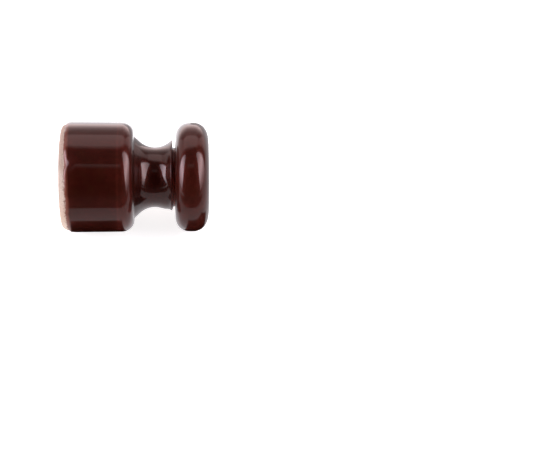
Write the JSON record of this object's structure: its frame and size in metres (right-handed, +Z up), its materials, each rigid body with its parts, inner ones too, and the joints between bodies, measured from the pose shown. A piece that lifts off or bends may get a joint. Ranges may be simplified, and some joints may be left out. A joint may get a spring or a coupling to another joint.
{
  "type": "knob insulator",
  "caption": "Small glazed porcelain knob with a waist for surface-run cable, a flat bare seat and a countersunk bore for its fixing screw.",
  "frame": {"origin": "centre of the flat seat, where the screw bore opens", "axes": "+X along the bore from the seat to the head, out of the wall; +Z up; the knob is a body of revolution about X, shown lying on its side"},
  "size_m": [0.0231, 0.0176, 0.0176],
  "materials": {
    "biscuit": "bare fired porcelain, matt and slightly sandy, pinkish cream",
    "glaze": "glossy dark red-brown glass, redder where it thins over the edges"
  },
  "bodies": {
    "root": {"porcelain_core": "biscuit", "glaze_coat": "glaze"}
  },
  "joints": []
}
